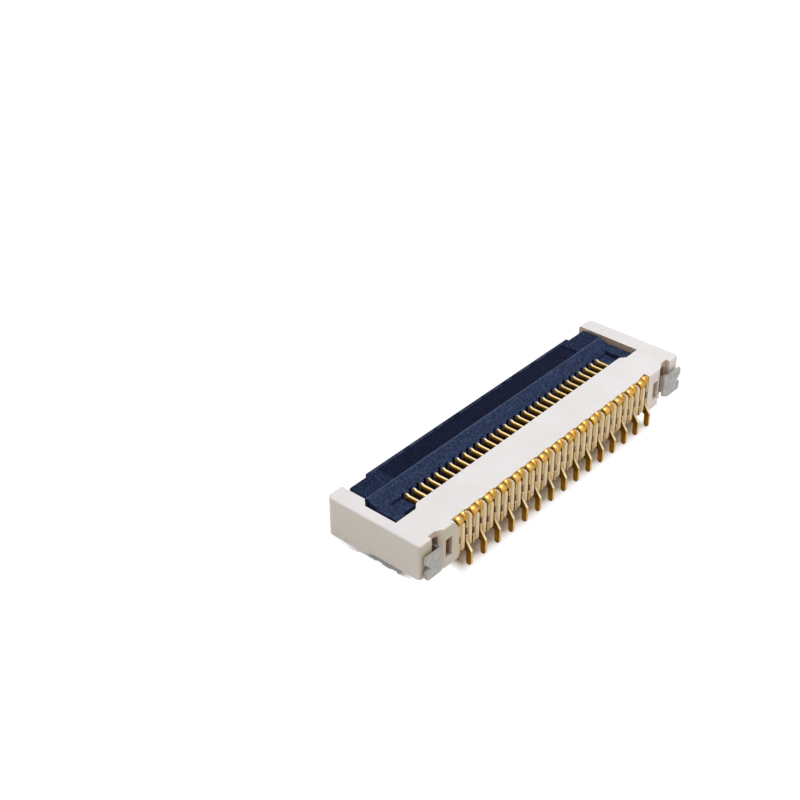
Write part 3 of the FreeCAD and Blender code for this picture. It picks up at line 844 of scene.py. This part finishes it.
def make_floor_paper():
    """White paper, open from below: its shadow shows close to the part and fades.

    The share of lit paper falls with the distance from a rectangle under the row
    of contacts, which starts at the board plane; the lit paper is painted in a
    darker, warm shade. A thin ragged painted shadow, lit paper in a dark colour,
    also follows the ends' lower edges: it draws in by a share of the distance
    from the cable side, where the part touches down. Elsewhere the paper glows white.
    """
    material, nodes, shader = new_material("floor_paper")
    nodes.feed(shader, {"Base Color": PAPER, "Roughness": 0.9})
    place = nodes.axes("Object")
    along = nodes.distance(place["X"])
    beside = nodes.calc("SUBTRACT", along, SHADE_HALF_WIDTH)
    behind = nodes.calc("SUBTRACT", nodes.distance(place["Y"], SHADE_HALF_DEPTH), SHADE_HALF_DEPTH)
    at_feet = nodes.grade(nodes.calc("MAXIMUM", beside, behind), *SHADE_FADE)

    # Painted shadow: a thin ragged dark line along the ends' lower edges
    draw_in = nodes.product(nodes.calc("SUBTRACT", CABLE_SIDE, place["Y"]), EDGE_SHADOW_DRAW_IN)
    outside = nodes.calc("ADD", nodes.calc("SUBTRACT", along, HOUSING_HALF), draw_in)
    ragged = nodes.vary(
        nodes.noise(grain=0.35, detail=3), *EDGE_SHADOW_RAGGED, reach=EDGE_SHADOW_REACH
    )
    edge_shadow = nodes.product(
        nodes.grade(nodes.calc("ADD", outside, ragged), *EDGE_SHADOW_WIDTH),
        nodes.grade(place["Y"], *EDGE_SHADOW_START), nodes.grade(place["Y"], *EDGE_SHADOW_END),
    )

    # Lit paper in painted warm shade, dark on the painted shadow line
    lit = nodes.add("ShaderNodeBsdfDiffuse", {
        "Color": nodes.mix(edge_shadow, PAPER_SHADE, PAPER_EDGE_SHADOW)})
    glow = nodes.add("ShaderNodeEmission", {"Color": WHITE, "Strength": PAPER_GLOW})
    share = nodes.calc("MAXIMUM", at_feet, nodes.product(edge_shadow, EDGE_SHADOW_COVER))
    seen = nodes.choose(share, glow.outputs["Emission"], lit.outputs["BSDF"])
    is_seen = nodes.add("ShaderNodeLightPath").outputs["Is Camera Ray"]
    above = nodes.choose(is_seen, shader.outputs["BSDF"], seen)
    is_below = nodes.add("ShaderNodeNewGeometry").outputs["Backfacing"]
    clear = nodes.add("ShaderNodeBsdfTransparent").outputs["BSDF"]
    nodes.feed(nodes.tree.nodes["Material Output"], {
        "Surface": nodes.choose(is_below, above, clear)})
    return material


def make_floor():
    """A pale plane that the long feet and the cable side's lower edge rest on."""
    y_low, z_low = FOOT_TIP
    slope = (0 - z_low) / (CABLE_SIDE - y_low)
    ends = (-FLOOR_REACH, FLOOR_REACH)
    x, y = np.meshgrid(ends, ends)
    points = np.stack([x, y, z_low + slope * (y - y_low)], axis=-1).reshape(-1, 3) * MM
    mesh = bpy.data.meshes.new("floor")
    mesh.from_pydata(points.tolist(), [], [(0, 1, 3, 2)])
    mesh.materials.append(make_floor_paper())
    floor = bpy.data.objects.new("floor", mesh)
    bpy.context.scene.collection.objects.link(floor)


# Light and camera

WORLD_LIGHT = 0.45
LAMP_AIM = Vector((0, 2.5, 1))
CAMERA_PLACE = Vector((-45.028, -29.758, 40.637))
CAMERA_FORWARD = Vector((0.62107, 0.55002, -0.55835))
CAMERA_RIGHT = Vector((0.66013, -0.75113, -0.00563))
CAMERA_LENS = 64.86
CAMERA_SENSOR = 36.0


def make_world():
    """A plain studio: white where it is seen, softer as a source of light."""
    world = bpy.data.worlds.new("studio")
    bpy.context.scene.world = world
    nodes = Nodes(world)
    seen = nodes.tree.nodes["Background"]
    nodes.feed(seen, {"Color": WHITE, "Strength": 1.0})
    light = nodes.add("ShaderNodeBackground", {"Color": WHITE, "Strength": WORLD_LIGHT})
    path = nodes.add("ShaderNodeLightPath").outputs
    is_seen = nodes.calc("MAXIMUM", path["Is Camera Ray"], path["Is Glossy Ray"])
    is_seen = nodes.calc("MAXIMUM", is_seen, path["Is Transmission Ray"])
    nodes.feed(nodes.tree.nodes["World Output"], {"Surface": nodes.choose(
        is_seen, light.outputs["Background"], seen.outputs["Background"])})


def make_lamp(name, place, size, watts):
    """A square soft box, aimed at the part, and weak because the part is small."""
    lamp = bpy.data.lights.new(name, "AREA")
    lamp.size = size * MM
    lamp.energy = watts
    lamp_object = bpy.data.objects.new(name, lamp)
    bpy.context.scene.collection.objects.link(lamp_object)
    lamp_object.location = Vector(place) * MM
    towards = LAMP_AIM - Vector(place)
    lamp_object.rotation_euler = towards.to_track_quat("-Z", "Y").to_euler()


def make_camera():
    """The photograph's view."""
    data = bpy.data.cameras.new("camera")
    data.sensor_width = CAMERA_SENSOR
    data.lens = CAMERA_LENS
    data.clip_start = 1 * MM
    data.clip_end = 2000 * MM
    camera = bpy.data.objects.new("camera", data)
    bpy.context.scene.collection.objects.link(camera)
    up = CAMERA_RIGHT.cross(CAMERA_FORWARD).normalized()
    turn = Matrix((CAMERA_RIGHT, up, -CAMERA_FORWARD)).transposed()
    camera.matrix_world = Matrix.Translation(CAMERA_PLACE * MM) @ turn.to_4x4()
    bpy.context.scene.camera = camera


make_floor()
make_world()
make_lamp("overhead", place=(10, -20, 95), size=60, watts=0.054)
make_lamp("board_side_fill", place=(20, -90, 30), size=50, watts=0.003)
make_camera()
bpy.context.scene.view_settings.view_transform = "Standard"
